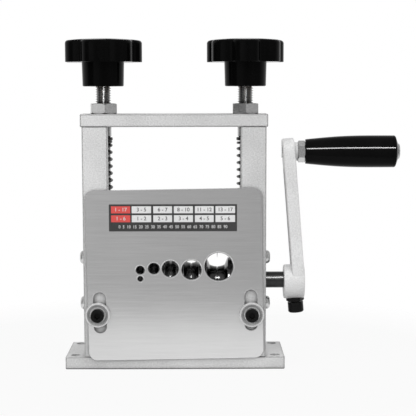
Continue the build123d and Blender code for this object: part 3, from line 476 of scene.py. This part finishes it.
def coil_springs(side):
    """Each spring is two lengths of one coil."""
    node = f"{side}_spring"
    low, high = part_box(node)
    x = (low[0] + high[0]) / 2
    y = (low[1] + high[1]) / 2
    path = coil_path(x, y, low[2], high[2], (high[0] - low[0]) / 2 - SPRING_WIRE / 2)
    half = (len(path) - 1) // 2
    lower = tube(f"{side}_spring_lower_coils", path[:half + 1], SPRING_WIRE / 2, WIRE_SIDES, SPRING)
    upper = tube(f"{side}_spring_upper_coils", path[half:], SPRING_WIRE / 2, WIRE_SIDES, SPRING)
    for piece in (lower, upper):
        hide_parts(node)
    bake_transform(lower)
    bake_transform(upper)


# ---------------------------------------------------------------- label
def outline(x_span, z_span, corner):
    """A rectangle's outline, with a few points in each corner when it is rounded."""
    points = []
    corners = ((1, 1), (0, 1), (0, 0), (1, 0))
    for quarter, (right, top) in enumerate(corners):
        x = x_span[right] + (-corner if right else corner)
        z = z_span[top] + (-corner if top else corner)
        for k in range(CORNER_POINTS if corner else 1):
            turn = radians(90 * (quarter + k / (CORNER_POINTS - 1)))
            points.append((x + corner * cos(turn), z + corner * sin(turn)))
    return points


def sheet(name, x_span, z_span, y_span, material, corner=0.0):
    """A thin printed sheet on the guide plate, from its face to its back."""
    points = outline(x_span, z_span, corner)
    n = len(points)
    vertices = [(x, y, z) for y in y_span for x, z in points]
    faces = [tuple(range(n)), tuple(range(2 * n - 1, n - 1, -1))]
    faces += [(k, k + n, (k + 1) % n + n, (k + 1) % n) for k in range(n)]
    piece = new_object(name, vertices, faces, material, smooth=False)
    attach(piece, "guide")
    return piece


def figures(name, body, place, height, material, spread=1.0):
    """Plain figures as a mesh, centred on a place; spread scales their width."""
    curve = bpy.data.curves.new(name, "FONT")
    curve.body = body
    curve.size = height / FIGURE_SHARE
    curve.align_x = "CENTER"
    curve.align_y = "CENTER"
    curve.extrude = PRINT_THICKNESS / 4
    curve.offset = PRINT_BOLD
    curve.materials.append(material)
    text = bpy.data.objects.new(name, curve)
    bpy.context.scene.collection.objects.link(text)
    text.rotation_euler = (radians(90), 0, 0)
    text.location = place
    bpy.context.view_layer.update()
    depsgraph = bpy.context.evaluated_depsgraph_get()
    mesh = bpy.data.meshes.new_from_object(text.evaluated_get(depsgraph))
    mesh.transform(Matrix.Diagonal((spread, 1, 1, 1)))
    mesh.transform(text.matrix_world)
    bpy.data.objects.remove(text)
    piece = bpy.data.objects.new(name, mesh)
    bpy.context.scene.collection.objects.link(piece)
    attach(piece, "guide")


def label():
    """A dark film with a red and five white columns of cells, plain figures in them and a line of
    small figures below."""
    low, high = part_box("label_plate")
    width = high[0] - low[0]
    height = high[2] - low[2]
    figure_place = low[1] + PRINT_THICKNESS / 2
    cell_face = low[1] + PRINT_THICKNESS
    film_face = low[1] + 2 * PRINT_THICKNESS
    ground = sheet("label_ground", (low[0], high[0]), (low[2], high[2]), (film_face, high[1]), FILM,
                   LABEL_CORNER)
    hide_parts("label_plate")
    for column, x_shares in enumerate(LABEL_COLUMNS):
        cell, print_colour = (PRINT_WHITE, PRINT_GREY) if column else (PRINT_RED, PRINT_PALE)
        x_span = [low[0] + share * width for share in x_shares]
        for row, z_shares in enumerate(LABEL_ROWS):
            z_span = [low[2] + share * height for share in z_shares]
            sheet(f"label_cell_{column}_{row}", x_span, z_span, (cell_face, film_face), cell)
            middle = (sum(x_span) / 2, figure_place, sum(z_span) / 2)
            figures(f"label_figure_{column}_{row}", LABEL_FIGURES[row][column], middle, FIGURE_HEIGHT,
                    print_colour)
    strip = ((low[0] + high[0]) / 2, figure_place, low[2] + LABEL_STRIP * height)
    figures("label_strip_figures", LABEL_STRIP_FIGURES, strip, STRIP_FIGURE_HEIGHT, PRINT_PALE,
            LABEL_STRIP_WIDTH)


# ---------------------------------------------------------------- camera and studio
def place_camera():
    """The photograph's view."""
    data = bpy.data.cameras.new("camera")
    data.sensor_width = SENSOR
    data.lens = FOCAL_PIXELS / PICTURE * SENSOR
    data.shift_x = (PICTURE / 2 - PRINCIPAL_POINT[0]) / PICTURE
    data.shift_y = (PRINCIPAL_POINT[1] - PICTURE / 2) / PICTURE
    data.clip_end = CAMERA_REACH
    camera = bpy.data.objects.new("camera", data)
    yaw = Matrix.Rotation(radians(-CAMERA_YAW), 4, "Z")
    pitch = Matrix.Rotation(radians(90 - CAMERA_PITCH), 4, "X")
    roll = Matrix.Rotation(radians(CAMERA_ROLL), 4, "Z")
    camera.matrix_world = Matrix.Translation(CAMERA_PLACE) @ yaw @ pitch @ roll
    bpy.context.scene.collection.objects.link(camera)
    bpy.context.scene.camera = camera


def softbox(name, place, aim, width, height, power, only):
    """A soft lamp. Polished faces mirror the room instead of it, unless it is only for a few pieces."""
    data = bpy.data.lights.new(name, "AREA")
    data.shape = "RECTANGLE"
    data.size = width
    data.size_y = height
    data.energy = power
    light = bpy.data.objects.new(name, data)
    way = Vector(aim) - Vector(place)
    light.matrix_world = Matrix.Translation(place) @ way.to_track_quat("-Z", "Y").to_matrix().to_4x4()
    bpy.context.scene.collection.objects.link(light)
    light.visible_glossy = bool(only)
    if only:
        lit = bpy.data.collections.new(name)
        for piece in only:
            lit.objects.link(frame["nodes"].get(piece) or bpy.data.objects[piece])
        light.light_linking.receiver_collection = lit


def room():
    """The camera sees white; the tool sees a ring of bright and dim walls and an even top."""
    world = bpy.data.worlds.new("studio")
    bpy.context.scene.world = world
    world.use_nodes = True
    n = Nodes(world.node_tree)
    way = n.add("ShaderNodeTexCoord").outputs["Generated"]
    parts = n.add("ShaderNodeSeparateXYZ", {0: way}).outputs
    azimuth = n.math("ARCTAN2", parts[0], n.math("MULTIPLY", parts[1], -1.0))
    share = n.math("ADD", n.math("DIVIDE", azimuth, 2 * pi), 0.5)
    ring = n.add("ShaderNodeValToRGB", {0: share})
    stops = ring.color_ramp.elements
    while len(stops) < len(ROOM):
        stops.new(0.5)
    for stop, (degrees, level) in zip(stops, ROOM):
        stop.position = degrees / 360 + 0.5
        stop.color = (*grey(level), 1)
    above = n.span(parts[2], ROOM_TOP_RANGE)
    walls = n.mix(above, ring.outputs[0], grey(ROOM_TOP))
    dim = n.add("ShaderNodeBackground", {"Color": walls, "Strength": 1.0}).outputs[0]
    white = n.add("ShaderNodeBackground", {"Color": (1, 1, 1, 1), "Strength": 1.0}).outputs[0]
    seen = n.add("ShaderNodeLightPath").outputs["Is Camera Ray"]
    both = n.add("ShaderNodeMixShader", {0: seen, 1: dim, 2: white}).outputs[0]
    n.add("ShaderNodeOutputWorld", {"Surface": both})


def sweep_material():
    """White paper that fades out to the white room, and keeps a soft shadow under the tool."""
    material, n = new_material("white_sweep")
    place = n.add("ShaderNodeTexCoord").outputs["Object"]
    tones = [grey(tone) for tone in FLOOR_TONES]
    paper = n.ramp(n.noise(place, FLOOR_GRAIN), *tones)
    diffuse = n.add("ShaderNodeBsdfDiffuse", {"Color": paper}).outputs[0]
    ambient = n.add("ShaderNodeAmbientOcclusion", {"Distance": FLOOR_SHADOW}, samples=FLOOR_SAMPLES)
    shade = n.ramp(ambient.outputs["AO"], grey(FLOOR_SHADOW_TONE), grey(1.0), FLOOR_SHADOW_RANGE)
    white = n.add("ShaderNodeEmission", {"Color": shade, "Strength": 1.0}).outputs[0]
    light = n.add("ShaderNodeLightPath").outputs
    seen = n.math("MAXIMUM", light["Is Camera Ray"], light["Is Glossy Ray"])
    share = n.math("MULTIPLY", seen, FLOOR_SHOWN)
    shown = n.add("ShaderNodeMixShader", {0: share, 1: diffuse, 2: white}).outputs[0]
    reach = n.add("ShaderNodeVectorMath", {0: place}, operation="LENGTH").outputs["Value"]
    fade = n.span(reach, (FLOOR_RADIUS - FLOOR_FADE, FLOOR_RADIUS))
    clear = n.add("ShaderNodeBsdfTransparent").outputs[0]
    surface = n.add("ShaderNodeMixShader", {0: fade, 1: shown, 2: clear}).outputs[0]
    n.add("ShaderNodeOutputMaterial", {"Surface": surface})
    return material


def sweep():
    """The floor that the tool stands on."""
    corners = ((-1, -1), (1, -1), (1, 1), (-1, 1))
    vertices = [(x * FLOOR_RADIUS, y * FLOOR_RADIUS, 0) for x, y in corners]
    floor = new_object("floor", vertices, [(0, 1, 2, 3)], sweep_material())


dress_nodes()
for side in SIDES:
    threaded_screw(side)
    coil_springs(side)
label()
place_camera()
room()
for lamp in LAMPS:
    softbox(*lamp)
sweep()
bpy.context.scene.view_settings.view_transform = "Standard"
